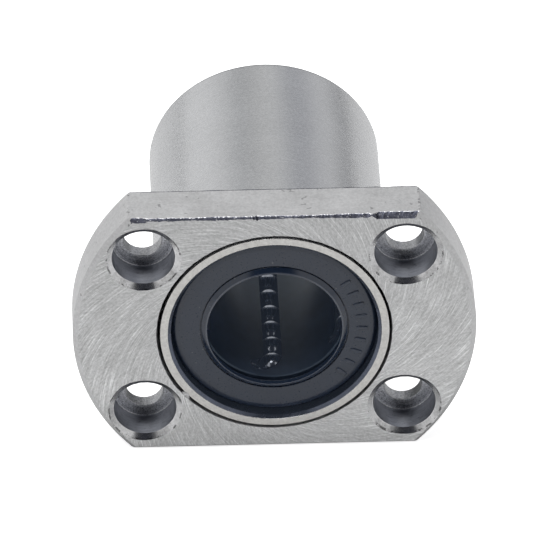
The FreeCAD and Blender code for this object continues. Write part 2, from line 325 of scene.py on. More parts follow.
# --- finishes ---
class Finish:
    """One procedural material: short calls that add a node and return its output."""

    def __init__(self, name, metallic=1.0, specular=0.5):
        self.material = bpy.data.materials.new(name)
        self.material.use_nodes = True
        self.tree = self.material.node_tree
        self.shader = self.tree.nodes["Principled BSDF"]
        self.shader.inputs["Metallic"].default_value = metallic
        self.shader.inputs["Specular IOR Level"].default_value = specular
        self.place = self.add("ShaderNodeTexCoord").outputs["Object"]

    def add(self, kind, inputs=None, **settings):
        """Adds a node; an input is either a value or another node's output."""
        node = self.tree.nodes.new(kind)
        for key, value in settings.items():
            setattr(node, key, value)
        for key, value in (inputs or {}).items():
            self.feed(node.inputs[key], value)
        return node

    def feed(self, socket, value):
        """Links an output to a socket, or sets the socket's own value."""
        if isinstance(value, bpy.types.NodeSocket):
            self.tree.links.new(value, socket)
        else:
            socket.default_value = value

    def maths(self, operation, first, second=0.0):
        """One sum on two numbers."""
        return self.add("ShaderNodeMath", {0: first, 1: second}, operation=operation).outputs[0]

    def plus(self, first, *others):
        """The sum of two or more numbers."""
        for other in others:
            first = self.maths("ADD", first, other)
        return first

    def times(self, first, *others):
        """The product of two or more numbers."""
        for other in others:
            first = self.maths("MULTIPLY", first, other)
        return first

    def less(self, part, amount=1.0):
        """One, less a share of a number from 0 to 1."""
        return self.maths("SUBTRACT", 1.0, self.times(part, amount))

    def vector(self, operation, first, second=(0.0, 0.0, 0.0), output=0):
        """One sum on two vectors."""
        return self.add("ShaderNodeVectorMath", {0: first, 1: second}, operation=operation).outputs[output]

    def noise(self, scale, detail=2.0, roughness=0.5, distortion=0.0, place=None):
        """Cloudy noise from 0 to 1, on Object coordinates unless a place is given."""
        place = self.place if place is None else place
        inputs = {"Vector": place, "Scale": scale, "Detail": detail, "Roughness": roughness,
                  "Distortion": distortion}
        return self.add("ShaderNodeTexNoise", inputs).outputs["Fac"]

    def streaks(self, scale, *shape, turn=(0.0, 0.0, 0.0)):
        """Noise on Object coordinates that are turned, then stretched by three scales."""
        turned_place = self.add("ShaderNodeMapping", {"Vector": self.place, "Rotation": turn})
        return self.noise(1.0, *shape, place=self.vector("MULTIPLY", turned_place.outputs[0], scale))

    def circles(self, reach, scale):
        """Noise that changes with the distance from a centre alone."""
        place = self.add("ShaderNodeCombineXYZ", {"X": self.times(reach, scale)}).outputs[0]
        return self.noise(1.0, place=place)

    def step(self, value, low, high):
        """A smooth step from 0 at low to 1 at high."""
        return self.add("ShaderNodeMapRange", {"Value": value, "From Min": low, "From Max": high},
                        interpolation_type="SMOOTHSTEP").outputs["Result"]

    def between(self, value, rise, fall):
        """1 between two edges and 0 outside them; each edge is a smooth step from one number to another."""
        return self.maths("SUBTRACT", self.step(value, *rise), self.step(value, *fall))

    def span(self, value, low, high, to_low, to_high):
        """A number moved from one range to another."""
        return self.add("ShaderNodeMapRange", {"Value": value, "From Min": low, "From Max": high,
                                               "To Min": to_low, "To Max": to_high}).outputs["Result"]

    def spread(self, cloud, low, high):
        """Noise, most of which lies from 0.3 to 0.7, moved to another range."""
        return self.span(cloud, 0.3, 0.7, low, high)

    def opaque(self, tint):
        """A colour as a socket takes it: another node's output, or red, green, blue and full alpha."""
        return tint if isinstance(tint, bpy.types.NodeSocket) else (*tint, 1.0)

    def blend(self, part, first, second, kind="MIX"):
        """One colour laid over another."""
        node = self.add("ShaderNodeMix", data_type="RGBA", blend_type=kind)
        self.feed(node.inputs[0], part)
        self.feed(node.inputs[6], self.opaque(first))
        self.feed(node.inputs[7], self.opaque(second))
        return node.outputs[2]

    def shade(self, base, amount):
        """A colour made lighter or darker by a number."""
        return self.add("ShaderNodeVectorMath", {0: base, "Scale": amount}, operation="SCALE").outputs[0]

    def reach(self, centre=(0.0, 0.0, 0.0)):
        """Distance in the XZ plane from the centre given, or from its mirror images."""
        flat = self.vector("MULTIPLY", self.vector("ABSOLUTE", self.place), (1.0, 0.0, 1.0))
        return self.vector("DISTANCE", flat, centre, output=1)

    def part(self, axis):
        """One of the three Object coordinates."""
        return self.add("ShaderNodeSeparateXYZ", {0: self.place}).outputs[axis]

    def depth(self):
        """Distance along the bore from the origin."""
        return self.part("Y")

    def swirl(self, lean, fineness, along):
        """Coordinates for strokes that cross every spoke of the XZ plane at one slant, of tangent lean.

        Each spoke is turned by lean times the logarithm of its length, which makes equal-angle spirals.
        """
        flat = self.vector("MULTIPLY", self.place, (1.0, 0.0, 1.0))
        reach = self.vector("LENGTH", flat, output=1)
        spoke = self.vector("NORMALIZE", flat)
        turn = self.times(self.maths("LOGARITHM", reach, math.e), lean)
        bent = self.add("ShaderNodeVectorRotate", {"Vector": spoke, "Axis": (0.0, 1.0, 0.0), "Angle": turn})
        fine = self.vector("MULTIPLY", bent.outputs[0], (fineness, 0.0, fineness))
        rise = self.add("ShaderNodeCombineXYZ", {"Y": self.times(reach, along)})
        return self.vector("ADD", fine, rise.outputs[0])

    def paint_glow(self, amount):
        """Painted glow: a faint pale emission that stands in for light in the dark bore."""
        self.feed(self.shader.inputs["Emission Color"], (0.52, 0.66, 0.92, 1.0))
        self.feed(self.shader.inputs["Emission Strength"], amount)

    def done(self, base, roughness, height=None, distance=0.01 * MM, strength=0.5):
        """Feeds the shader and returns the material; a height makes a bump of at most the distance."""
        self.feed(self.shader.inputs["Base Color"], base)
        self.feed(self.shader.inputs["Roughness"], roughness)
        if height is not None:
            bump = {"Height": height, "Distance": distance, "Strength": strength}
            self.feed(self.shader.inputs["Normal"], self.add("ShaderNodeBump", bump).outputs[0])
        return self.material


def face_finish(base):
    """Milled face: fine strokes that lean off every spoke, crossed by a fainter set, with fine grit.

    The three patterns are added up; the sum is painted a little lighter towards the bottom and the right,
    as painted light.
    """
    f = Finish("milled_face_steel")
    fan = f.noise(1.0, 3.0, 0.64, place=f.swirl(1.6, 72.0, 460.0))
    cross = f.noise(1.0, 3.0, 0.62, place=f.swirl(0.55, 95.0, 560.0))
    grit = f.noise(3000.0, 3.0, 0.7)
    strokes = f.plus(f.times(fan, 0.42), f.times(cross, 0.24), f.times(grit, 0.34))
    tone = f.times(f.span(strokes, 0.39, 0.61, 0.68, 1.28), f.spread(f.noise(170.0), 0.95, 1.05))
    tone = f.plus(tone, f.times(f.step(fan, 0.60, 0.68), 0.24))
    # Painted light: the face is lightened towards the bottom and the right.
    tone = f.times(tone, f.span(f.part("Z"), -14 * MM, 14 * MM, 1.07, 0.93),
                   f.span(f.part("X"), -20 * MM, 20 * MM, 0.98, 1.03))
    return f.done(f.shade(base, tone), f.span(strokes, 0.35, 0.65, 0.36, 0.48), strokes, 0.02 * MM)


def side_finish(base, corner):
    """Milled sides: fine grain, pits, faint cutter lines, and dark nicks where |x| is near the corner's."""
    f = Finish("milled_side_steel")
    cloud = f.noise(260.0, 3.0, 0.6)
    grain = f.noise(3200.0, 3.0, 0.65)
    lines = f.streaks((260.0, 1500.0, 260.0), 3.0, 0.55)
    pits = f.step(f.noise(1100.0, 2.0, 0.6), 0.68, 0.73)
    at_corner = f.between(f.maths("ABSOLUTE", f.part("X")), (corner - 0.28 * MM, corner - 0.14 * MM),
                          (corner + 0.04 * MM, corner + 0.12 * MM))
    nicks = f.times(at_corner, f.step(f.noise(1900.0, 3.0, 0.65), 0.52, 0.60))
    tone = f.plus(f.spread(cloud, 0.94, 1.04), f.spread(lines, -0.03, 0.03), f.spread(grain, -0.12, 0.12))
    tone = f.times(tone, f.less(pits, 0.4), f.less(nicks, 0.55))
    height = f.maths("SUBTRACT", f.times(grain, 0.3), pits)
    return f.done(f.shade(base, tone), f.spread(cloud, 0.36, 0.44), height, 0.02 * MM, 0.4)


def burr_and_shade_finish(dark, bright):
    """Torn metal along the sheared edge, mostly dark with bright flecks; the dark is partly painted shade,
    and along the back edge it is painted shade alone.
    """
    f = Finish("torn_edge_and_painted_shade_steel")
    patches = f.streaks((700.0, 2600.0, 2600.0), 4.0, 0.65, 0.4)
    flecks = f.step(f.noise(4200.0, 3.0, 0.7), 0.60, 0.68)
    shown = f.maths("MAXIMUM", f.step(patches, 0.66, 0.74), flecks)
    base = f.blend(shown, f.shade(dark, f.spread(patches, 0.7, 1.3)), bright)
    return f.done(base, f.spread(patches, 0.34, 0.5), patches, 0.03 * MM, 0.6)


def counterbore_finish(base, centre, floor):
    """Drilled hole: a scratched, grainy floor and smooth walls, told apart by their depth; the walls and
    the through hole are painted darker as painted shade.
    """
    f = Finish("counterbore_steel")
    rings = f.streaks((90.0, 5200.0, 90.0), 3.0, 0.65)
    smear = f.streaks((1300.0, 2600.0, 1300.0), 4.0, 0.7, 0.8)
    chips = f.noise(5200.0, 4.0, 0.75, 0.4)
    arcs = f.circles(f.reach(centre), 9000.0)
    # Painted shade: the walls' tone is held darker than the floor's.
    wall = f.plus(f.spread(rings, 0.56, 0.74), f.span(smear, 0.35, 0.65, -0.10, 0.14))
    rough = f.plus(f.span(chips, 0.38, 0.62, 0.55, 1.35), f.span(arcs, 0.35, 0.65, -0.28, 0.32))
    # Painted shade: the through hole past the floor is darkened.
    hole_shade = f.step(f.depth(), floor + 0.02 * MM, floor + 0.10 * MM)
    rough = f.times(rough, f.less(hole_shade, 0.34))
    past_wall = f.step(f.depth(), floor - 0.12 * MM, floor - 0.06 * MM)
    tone = f.plus(wall, f.times(past_wall, f.maths("SUBTRACT", rough, wall)))
    tint = f.blend(past_wall, (0.95, 0.97, 1.03), (1.0, 0.99, 0.97))
    tinted = f.blend(1.0, f.shade(base, tone), tint, kind="MULTIPLY")
    return f.done(tinted, f.spread(smear, 0.26, 0.42), chips, 0.02 * MM)


def mouth_finish(base, centre, rim):
    """Bright chamfer at a hole's mouth: short tool flats, a painted highlight along its inner edge and dark
    nicks at its rim.
    """
    f = Finish("mouth_steel")
    flats = f.streaks((520.0, 300.0, 520.0), 2.0, 0.5, 0.5)
    fine = f.noise(4200.0, 3.0, 0.6)
    chips = f.streaks((800.0, 300.0, 800.0), 4.0, 0.75)
    reach = f.reach(centre)
    nicks = f.times(f.step(reach, rim - 0.22 * MM, rim - 0.16 * MM), f.step(chips, 0.50, 0.56))
    # Painted highlight: a lighter line along the chamfer's inner edge.
    line = f.less(f.step(reach, rim - 0.66 * MM, rim - 0.60 * MM))
    tone = f.plus(f.span(flats, 0.34, 0.62, 0.84, 1.18), f.spread(fine, -0.16, 0.16), f.times(line, 0.12))
    tone = f.times(tone, f.less(nicks, 0.72))
    return f.done(f.shade(base, tone), f.spread(flats, 0.24, 0.16), fine, 0.01 * MM, 0.3)


def ground_finish(base, back):
    """Ground outside: very fine rings round the axis, a polished grain and a painted shade line at the far
    edge.
    """
    f = Finish("ground_steel")
    rings = f.streaks((160.0, 9000.0, 160.0), 3.0, 0.6)
    grain = f.noise(3600.0, 3.0, 0.65)
    scuffs = f.step(f.streaks((1200.0, 420.0, 1200.0), 3.0, turn=(0.2, 0.1, 0.6)), 0.71, 0.78)
    # Painted shade: the last part before and over the rear chamfer is darkened.
    edge = f.step(f.depth(), back - 0.30 * MM, back - 0.18 * MM)
    tone = f.plus(f.spread(rings, 0.95, 1.03), f.spread(grain, -0.10, 0.10))
    tone = f.times(tone, f.spread(f.noise(160.0), 0.97, 1.03), f.less(scuffs, 0.2),
                   f.less(edge, 0.35))
    return f.done(f.shade(base, tone), f.spread(grain, 0.24, 0.30), grain, 0.004 * MM, 0.4)


def ring_finish(base):
    """Turned end ring: circles round the bore's axis, broken up by grit."""
    f = Finish("end_ring_steel")
    grit = f.noise(2600.0, 3.0, 0.65)
    tone = f.plus(f.spread(f.circles(f.reach(), 16000.0), 0.93, 1.05), f.spread(grit, -0.14, 0.14))
    return f.done(f.shade(base, tone), f.spread(grit, 0.34, 0.46), grit, 0.008 * MM, 0.4)


def inside_finish(base):
    """Inside of the sleeve, smooth and unpolished; its dark colour is painted shade, and it has a painted
    glow.
    """
    f = Finish("inside_steel_painted_shade")
    film = f.noise(700.0, 3.0)
    # Painted glow: a faint pale emission.
    f.paint_glow(PAINTED_GLOW)
    return f.done(f.shade(base, f.spread(film, 0.8, 1.2)), f.spread(film, 0.22, 0.32))


def rubber_finish(base, lip):
    """Matte moulded rubber with a fine grain and a little dust; the lip is smoother, with a painted
    highlight on its tip.
    """
    f = Finish("seal_rubber", metallic=0.0, specular=0.7)
    grain = f.noise(5200.0, 3.0, 0.6)
    dust = f.step(f.noise(2400.0, 1.0), 0.74, 0.79)
    tone = f.plus(f.spread(f.noise(210.0), 0.93, 1.07), f.spread(grain, -0.05, 0.05))
    dusty = f.blend(f.times(dust, 0.25), f.shade(base, tone), (0.30, 0.30, 0.31))
    reach = f.reach()
    # Painted highlight: a pale ring along the lip's tip.
    tip = f.between(reach, (lip + 0.02 * MM, lip + 0.05 * MM), (lip + 0.16 * MM, lip + 0.22 * MM))
    tip_highlighted = f.blend(f.times(tip, 0.14), dusty, (0.45, 0.47, 0.52))
    plain = f.step(reach, lip + 0.70 * MM, lip + 0.90 * MM)
    roughness = f.times(f.spread(grain, 0.26, 0.36), f.span(plain, 0.0, 1.0, 0.45, 1.0))
    return f.done(tip_highlighted, roughness, grain, 0.006 * MM)


def resin_finish(base, bore, channel, front, back):
    """Glossy black moulded resin, painted darker towards the front end as painted shade, with a painted
    glow in the balls' channels.

    A channel is where the radius lies between bore and channel and the depth between front and back.
    """
    f = Finish("cage_resin", metallic=0.0)
    f.shader.inputs["Specular Tint"].default_value = (0.72, 0.88, 1.0, 1.0)
    cloud = f.noise(480.0, 3.0)
    depth = f.depth()
    inside = f.between(f.reach(), (bore + 0.04 * MM, bore + 0.12 * MM), (channel, channel + 0.1 * MM))
    middle = f.between(depth, (front, front + 0.2 * MM), (back - 0.2 * MM, back))
    # Painted glow in the balls' channels.
    f.paint_glow(f.times(inside, middle, PAINTED_GLOW))
    # Painted shade: the resin darkens towards the front end.
    tone = f.times(f.spread(cloud, 0.85, 1.15), f.span(depth, front, front + 7 * MM, 0.48, 1.0))
    return f.done(f.shade(base, tone), f.spread(cloud, 0.30, 0.38), cloud, 0.02 * MM, 0.15)


def ball_finish(base):
    """Polished bearing steel with a painted glow."""
    f = Finish("ball_steel")
    cloud = f.noise(800.0)
    # Painted glow: a faint pale emission.
    f.paint_glow(PAINTED_GLOW)
    return f.done(f.shade(base, f.spread(cloud, 0.95, 1.03)), f.spread(cloud, 0.12, 0.18))


def spring_finish(base):
    """Dark spring steel with a rolled grain."""
    f = Finish("spring_steel")
    grain = f.streaks((900.0, 900.0, 5000.0), 3.0)
    tone = f.spread(grain, 0.85, 1.12)
    return f.done(f.shade(base, tone), f.spread(grain, 0.30, 0.42), grain, 0.008 * MM, 0.4)


def floor_finish(base, glow):
    """Plain pale floor, lit up where it is looked at directly, with hardly any unevenness."""
    f = Finish("floor_paint", metallic=0.0, specular=0.1)
    f.shader.inputs["Emission Color"].default_value = (1.0, 1.0, 1.0, 1.0)
    seen = f.add("ShaderNodeLightPath").outputs["Is Camera Ray"]
    f.feed(f.shader.inputs["Emission Strength"], f.times(seen, glow))
    return f.done(f.shade(base, f.spread(f.noise(3.0), 0.995, 1.005)), 0.9)


# --- flange ---
ARC_POINTS, FLAT_POINTS, FACE_ROWS = 130, 360, 7
FACE, SIDE, TORN_AND_SHADE, WALL, MOUTH = range(5)
HALF_CELL = math.radians(17.5)
MOUTH_DEPTH = 0.5
STAKE_ANGLE, STAKE_LENGTH, STAKE_WIDTH, STAKE_HEIGHT = math.radians(219.5), 0.62, 0.30, 0.10


def torn_chamfer(x, rng):
    """Width of the upper flat's torn chamfer at each x, in millimetres.

    A thin width plus two ripples, wider left of the tear's end, along the right and past the nick, with a
    clump of torn metal left of the middle and a narrow neck beside the nick.
    """
    past_nick = ramp(x, 12.2, 12.35)
    calm = 1 - 0.55 * past_nick
    width = 0.26 + calm * (ripple(rng, x, 0.6, 0.06) + ripple(rng, x, 0.19, 0.04))
    width += 0.17 * ramp(x, -15.4, -15.65)
    width += 0.12 * ramp(x, 4.5, 10.5) + 0.24 * past_nick
    clump = np.exp(-((x + 2.35) / 0.45) ** 2)
    width += clump * (0.20 + ripple(rng, x, 0.13, 0.22))
    return np.clip(width - 0.24 * np.exp(-((x - 11.75) / 0.2) ** 2), 0.03, 0.7)


def flat_corner(s):
    """Distance from the middle to the corners where the flats meet the round sides, in metres."""
    return math.sqrt(s.radius ** 2 - s.flat ** 2)


def flange_outline(s, y, rng):
    """Loops of the flange at each height y: a circle cut by two flats, each drawn in by its chamfer.

    A loop runs round the right-hand arc, the upper flat, the left-hand arc and the lower flat. The upper
    flat's front chamfer is torn, so its width wanders along the edge, and a slanting nick cuts it.
    """
    front, back = y[0], y[-1]
    along = np.linspace(0, 1, FLAT_POINTS + 2)[1:-1]
    loops = []
    corner_x = flat_corner(s) / MM
    width = torn_chamfer(corner_x * (1 - 2 * along), rng)
    back_chamfer = 0.2 + ripple(rng, along * 34.0, 0.8, 0.05)
    radius = s.radius / MM - soft_excess(s.rim_chamfer / MM - (y - front)) - soft_excess(0.4 - (back - y))
    plain = s.flat / MM - soft_excess(s.flat_chamfer / MM - (y - front)) - soft_excess(0.2 - (back - y))
    for ring, half, height in zip(radius, plain, y):
        from_front, from_back = height - front, back - height
        reach = math.asin(half / ring)
        arc = np.linspace(-reach, reach, ARC_POINTS)
        corner = ring * math.cos(reach)
        across = corner * (1 - 2 * along)
        nick = 0.32 * np.exp(-((across - 12.02 - 0.7 * (0.35 - from_front)) / 0.09) ** 2)
        torn = width + nick * ramp(from_front, 0.9, 0.6) * ramp(from_front, 0, 0.05)
        upper = s.flat / MM - soft_excess(torn - from_front) - soft_excess(back_chamfer - from_back)
        upper = np.minimum(upper, s.flat / MM)
        ends = ramp(np.minimum(along, 1 - along), 0, 0.006)
        upper = half * (1 - ends) + upper * ends
        x = np.concatenate([ring * np.cos(arc), across, -ring * np.cos(arc), -across])
        z = np.concatenate([ring * np.sin(arc), upper, -ring * np.sin(arc), np.full(FLAT_POINTS, -half)])
        loops.append(np.stack([x, np.full_like(x, height), z], axis=-1))
    return np.stack(loops)


def torn_and_shade_zone(loops, y, s):
    """Which faces between the loops get the dark torn finish: on the upper flat, the torn front chamfer and
    a painted shade line along the back edge.
    """
    column, row = np.arange(loops.shape[1])[None], y[:-1, None]
    on_upper = (column >= ARC_POINTS - 1) & (column <= ARC_POINTS + FLAT_POINTS)
    width = np.abs(s.flat / MM - loops[0, :, 2]) - 0.02
    # The strip within 0.34 mm of the back edge is a painted shade line, not torn metal.
    torn = on_upper & ((row < y[0] + width) | (row > y[-1] - 0.34))
    return np.where(torn, TORN_AND_SHADE, SIDE).ravel()


def hole_cell(loop, inner, start, stop):
    """The closed border of the part of a face round one hole: outer edge, side, inner arc and side."""
    size = len(loop)
    span = np.arange(start, stop + 1) % size
    side_out = ruled(loop[span[-1:]], inner[span[-1:]], FACE_ROWS)[1:-1, 0]
    side_in = ruled(inner[span[:1]], loop[span[:1]], FACE_ROWS)[1:-1, 0]
    return np.concatenate([loop[span], side_out, inner[span][::-1], side_in])


def cell_span(turn, middle):
    """First and last outline point of the part of a face round the hole that stands at an angle."""
    start, stop = (int(np.argmin(np.abs(np.angle(np.exp(1j * (turn - side))))))
                   for side in (middle - HALF_CELL, middle + HALF_CELL))
    return start, stop + (len(turn) if stop < start else 0)


def counterbore_profile(s, front):
    """Section of a screw hole as (radius, y): wall, rounded floor corner, floor, hole and back edge.

    Tool marks on the wall and the floor are low sine waves along each of them.
    """
    head, bolt = s.head_radius / MM, s.bolt_radius / MM
    floor_y = front + s.head_depth / MM
    corner, edge, back_edge, mark = 0.15, 0.06, 0.25, 0.012
    turn = np.linspace(0, np.pi / 2, 6)[1:-1]
    wall_y = np.linspace(front + MOUTH_DEPTH, floor_y - corner, 13)
    wall_r = head + mark * np.sin(wall_y * 9.0)
    wall_r[0] = head
    floor_r = np.linspace(head - corner, bolt + edge, 8)
    floor_d = floor_y + mark * np.sin(floor_r * 12.0)
    return np.concatenate([
        np.stack([wall_r, wall_y], 1),
        np.stack([head - corner + corner * np.cos(turn), floor_y - corner + corner * np.sin(turn)], 1),
        np.stack([floor_r, floor_d], 1),
        [[bolt, floor_y + edge]],
        np.stack([np.full(5, bolt), np.linspace(floor_y + 0.3, -0.3, 5)], 1),
        [[bolt, -back_edge], [bolt + back_edge, 0.0]],
    ])


def screw_hole(shell, s, rng, hole_x, hole_z, loops, inner, span):
    """One hole, its uneven mouth and its part of both faces, ruled from the hole's rings to its border."""
    front = loops[0, 0, 1]
    profile = counterbore_profile(s, front)
    border = hole_cell(loops[0], inner[0], *span)
    spoke = np.arctan2(border[:, 2] - hole_z, border[:, 0] - hole_x)
    uneven = ripple(rng, spoke + np.pi, 0.45, 0.07, 2 * np.pi)
    ring = around((s.head_radius + s.mouth_width) / MM + uneven, spoke, front, hole_x, hole_z)
    wall = around(profile[:, :1], spoke, profile[:, 1:], hole_x, hole_z)
    shell.grid(ruled(ring, border, 5), FACE)
    shell.grid(ruled(ring, wall[0], 4), MOUTH)
    shell.grid(wall, WALL)
    shell.grid(ruled(wall[-1], hole_cell(loops[-1], inner[-1], *span), 5), FACE)


def seat_loops(s, rng, turn, front, back):
    """Loops of the flange's own bore at the outline's angles: uneven joint groove, seat and relief."""
    seat, relief = s.seat / MM, s.relief / MM
    uneven = ripple(rng, turn + np.pi, 0.11, 0.028, 2 * np.pi)
    uneven = uneven + ripple(rng, turn + np.pi, 0.03, 0.02, 2 * np.pi)
    edge = seat + s.groove / MM + 0.05 + uneven - 0.05 * np.cos(turn)
    rings = [(edge, front), (0.5 * (edge + seat), front + GROOVE_DEPTH / 2),
             (seat, front + GROOVE_DEPTH), (seat, back - relief), (seat + relief, back)]
    return np.stack([around(radius, turn, height) for radius, height in rings])


def stake_mark(shell, radius, front):
    """A dab of metal staked over the joint: a low rounded mound whose edge wavers as two sines round it."""
    u = np.linspace(0, 2 * np.pi, 40, endpoint=False)
    v = np.linspace(0, 1, 9)[:, None]
    edge = 1.0 + 0.16 * np.sin(3 * u + 0.6) + 0.10 * np.sin(7 * u)
    along = STAKE_LENGTH * v * edge * np.cos(u)
    across = STAKE_WIDTH * v * edge * np.sin(u) + 0.12 * v * np.sin(2 * u)
    height = STAKE_HEIGHT * (1 - v ** 2) ** 0.7 - 0.02
    top = around(radius + across, STAKE_ANGLE + along / radius, front - height)
    under = top.copy()
    under[..., 1] = front + 0.05
    shell.grid(top, SIDE)
    shell.grid(under, SIDE)
    shell.grid(np.stack([top[-1], under[-1]]), SIDE)


class BUSHING_OT_flange(bpy.types.Operator):
    """Build the flange: milled face, torn upper edge, chamfered sides and four counterbored holes"""

    bl_idname = "bushing.flange"
    bl_label = "Flange"

    def execute(self, context):
        s = context.scene.bushing_flange
        rng = np.random.default_rng(7)
        front, back = flange_low.y / MM, flange_high.y / MM
        y = np.concatenate([np.linspace(front, front + 0.8, 17),
                            np.linspace(front + 0.8, back - 0.6, 9)[1:],
                            np.linspace(back - 0.6, back, 10)[1:]])
        loops = flange_outline(s, y, rng)
        turn = np.arctan2(loops[0, :, 2], loops[0, :, 0])
        inner = seat_loops(s, rng, turn, front, back)
        shell = Shell()
        shell.grid(loops, torn_and_shade_zone(loops, y, s))
        shell.grid(inner, SIDE)
        cuts = []
        for right, up in ((1, 1), (-1, 1), (-1, -1), (1, -1)):
            hole_x, hole_z = right * s.hole_x / MM, up * s.hole_z / MM
            cuts.append(cell_span(turn, math.atan2(hole_z, hole_x)))
            screw_hole(shell, s, rng, hole_x, hole_z, loops, inner, cuts[-1])
        for (_, stop), (start, _) in zip(cuts, cuts[1:] + cuts[:1]):
            start += len(turn) if start < stop else 0
            span = np.arange(stop, start + 1) % len(turn)
            for end in (0, -1):
                part = ruled(inner[end][span], loops[end][span], FACE_ROWS)
                shell.grid(part, FACE, closed_columns=False)
        stake_mark(shell, s.seat / MM, front)
        centre = (s.hole_x, 0.0, s.hole_z)
        finishes = [face_finish(s.face), side_finish(s.side, flat_corner(s)), burr_and_shade_finish(s.torn, s.fleck),
                    counterbore_finish(s.wall, centre, flange_low.y + s.head_depth),
                    mouth_finish(s.side, centre, s.head_radius + s.mouth_width)]
        shell.build("flange_finished", finishes, BODY, ["flange"], 24)
        return {"FINISHED"}


# --- sleeve ---
OUTSIDE, END, INSIDE = range(3)
RUN_OUT, RUN_IN = 1.1, 0.3  # where a raceway strip's slope starts and ends, past and before its row's end
STRIP_FOOT, STRIP_TOP = 2.45, 2.15  # half widths of a raceway strip


class BUSHING_OT_sleeve(bpy.types.Operator):
    """Build the outer sleeve: ground outside, bright ends and the raceway strips inside"""

    bl_idname = "bushing.sleeve"
    bl_label = "Outer sleeve"

    def execute(self, context):
        s = context.scene.bushing_sleeve
        front, rear = sleeve_low.y / MM, sleeve_high.y / MM
        outside, bore, seat = s.radius / MM, s.bore / MM, s.seat / MM
        c, mouth = s.rear_chamfer / MM, s.mouth_chamfer / MM
        out = rounded([
            (bore + mouth, front, 0.05), (seat - GROOVE_WIDTH, front, 0.03),
            (seat - GROOVE_WIDTH / 2, front + GROOVE_DEPTH / 2, 0), (seat, front + GROOVE_DEPTH, 0),
            (seat, seat - outside, 0), (outside, 0, 0.02), *((outside, step, 0) for step in (6, 14, 22)),
            (outside, rear - c, 0.25), (outside - c, rear, 0.25), (bore + mouth, rear, 0.05),
        ])
        middle, half_row = (front + rear) / 2, ROW_PITCHES * context.scene.bushing_ball.pitch / MM
        end, straight = (rear - front) / 2, half_row - 1.5
        slope = np.concatenate([[end - mouth], np.linspace(end - 3.0, half_row + RUN_OUT + 0.1, 4),
                                np.linspace(half_row + RUN_OUT, half_row - RUN_IN, 6)])
        y = middle + np.concatenate([slope, np.linspace(straight, -straight, 10), -slope[::-1]])
        angles = np.linspace(0, 2 * np.pi, 360, endpoint=False)
        on_row = ramp(np.abs(y - middle), half_row + RUN_OUT, half_row - RUN_IN)[:, None]
        share = 2 * np.pi / CIRCUITS
        from_row = (angles + np.pi / 2 + share / 2) % share - share / 2
        strip = ramp(np.abs(from_row) * s.raceway / MM, STRIP_FOOT, STRIP_TOP)
        radius = bore - (bore - s.raceway / MM) * on_row * strip
        inside = around(radius, angles, y[:, None])
        shell = Shell()
        skin = turned(out, angles)
        on_end = (out[:-1, 1] < front + 0.01) | (out[1:, 1] > rear - 0.05)
        shell.grid(skin, np.repeat(np.where(on_end, END, OUTSIDE), len(angles)))
        shell.grid(np.concatenate([skin[-1:], inside, skin[:1]]), INSIDE)
        finishes = [ground_finish(s.outside, sleeve_high.y - s.rear_chamfer), ring_finish(s.end),
                    inside_finish(s.inside)]
        shell.build("outer_sleeve_finished", finishes, BODY, ["outer_sleeve"], 30)
        return {"FINISHED"}


# --- seals ---
def seal_outline(s, end, inwards):
    """A seal's section as rounded (radius, y) corners, from a sleeve's end inwards, which is 1 or -1."""
    face, groove = s.recess / MM, s.groove_depth / MM
    back, tip = face + s.thickness / MM, face - s.lip_stand / MM
    radius, flat, lip = s.radius / MM, s.flat_radius / MM, s.lip_radius / MM
    fall, rim = s.round_depth / MM, radius - s.flat_radius / MM
    root, groove_edge = s.root_radius / MM, s.groove_radius / MM
    corners = [
        (groove_edge, face, 0.05), (flat, face, 0.5), (flat + 0.55 * rim, face + 0.18 * fall, 0.4),
        (radius, face + fall, 0.15), (radius, back, 0.05), (9.6, back, 0.1), (8.5, back + 0.15, 0.1),
        (lip, tip + s.lip_length / MM, 0.1), (lip, tip, 0.03), (lip + 0.08, tip, 0.03),
        (root, face, 0.06), (root, face + groove, 0.02), (groove_edge, face + groove, 0.02),
    ]
    outline = rounded(corners, 6)
    outline[:, 1] = end + inwards * outline[:, 1]
    return outline


def seal_marks(shell, s, face):
    """Plain raised bars along an arc: rounded boxes whose three sizes follow a fourth-power curve."""
    u = np.linspace(0, 2 * np.pi, 28, endpoint=False)
    v = np.linspace(-np.pi / 2, np.pi / 2, 11)[:, None]
    across, upward, wide, deep = (np.sign(wave) * np.sqrt(np.abs(wave))
                                  for wave in (np.cos(u), np.sin(u), np.cos(v), np.sin(v)))
    for mark in range(s.marks):
        turn = s.first_mark - s.mark_step * mark
        r = s.mark_radius / MM + s.mark_length / MM / 2 * across * wide
        side = s.mark_width / MM / 2 * upward * wide
        y = face + s.mark_height / MM * np.broadcast_to(deep, r.shape)
        x = r * math.cos(turn) - side * math.sin(turn)
        z = r * math.sin(turn) + side * math.cos(turn)
        shell.grid(np.stack([x, y, z], -1))


class BUSHING_OT_seals(bpy.types.Operator):
    """Build the two wiper seals, the front one with its plain mould marks"""

    bl_idname = "bushing.seals"
    bl_label = "Seals"

    def execute(self, context):
        s = context.scene.bushing_seal
        rubber = rubber_finish(s.rubber, s.lip_radius)
        angles = np.linspace(0, 2 * np.pi, 288, endpoint=False)
        for name, end, inwards in (("front_seal", sleeve_low.y, 1), ("rear_seal", sleeve_high.y, -1)):
            end /= MM
            shell = Shell()
            shell.grid(turned(seal_outline(s, end, inwards), angles), closed_rows=True)
            if inwards > 0:
                seal_marks(shell, s, end + s.recess / MM)
            shell.build(name + "_finished", [rubber], BODY, [name], 35)
        return {"FINISHED"}


# --- cage and rings ---
def refinish(node, material):
    """Gives a node of the engineering model its finish."""
    piece = frame["nodes"][node]
    for place in range(len(piece.material_slots)):
        piece.material_slots[place].material = material


